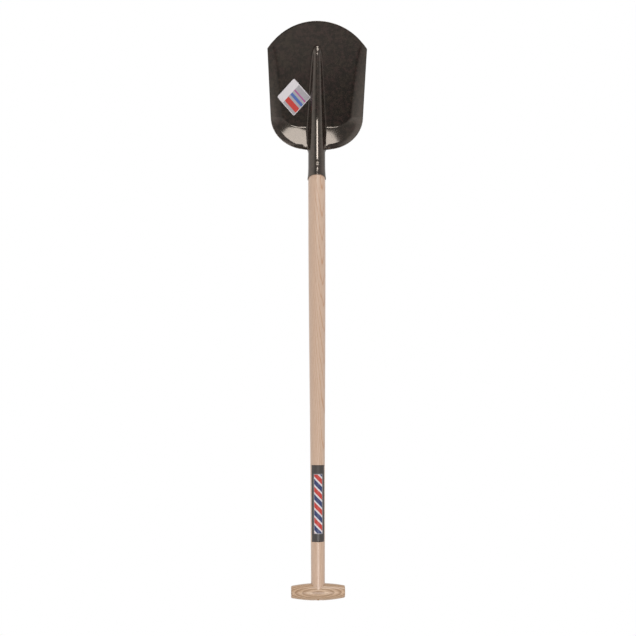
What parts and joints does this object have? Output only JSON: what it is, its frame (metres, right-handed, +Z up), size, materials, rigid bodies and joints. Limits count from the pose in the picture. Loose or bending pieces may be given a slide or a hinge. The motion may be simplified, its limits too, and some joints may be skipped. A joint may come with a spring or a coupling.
{
  "type": "spade",
  "caption": "Long garden spade: dished round-nosed steel blade with a hollow rib and rolled socket, tapered wooden shaft and turned wooden T grip.",
  "frame": {"origin": "on the shaft's axis, level with the end of the blade's shoulders, where the spade hangs on two pegs", "axes": "+Z up along the shaft to the tip of the blade, +Y to the back of the blade so that its hollow side faces -Y, +X across the blade"},
  "size_m": [0.2392, 0.0758, 1.3915],
  "materials": {
    "lacquered_steel": "dark glossy lacquer over pressed steel, slightly mottled",
    "ash_wood": "pale turned ash, fine long grain, thin clear lacquer",
    "grip_wood": "browner turned wood with long oval growth rings, thin clear lacquer",
    "wedge_wood": "plain hardwood, sawn",
    "nail_steel": "bright domed nail head under lacquer",
    "blade_sticker": "pale silver-grey printed film, satin",
    "shaft_sticker": "charcoal printed film, satin"
  },
  "bodies": {
    "root": {"blade": "lacquered_steel", "shaft": "ash_wood", "grip": "grip_wood", "grip_wedge": "wedge_wood", "socket_nail": "nail_steel", "blade_label": "blade_sticker", "shaft_label": "shaft_sticker"}
  },
  "joints": []
}
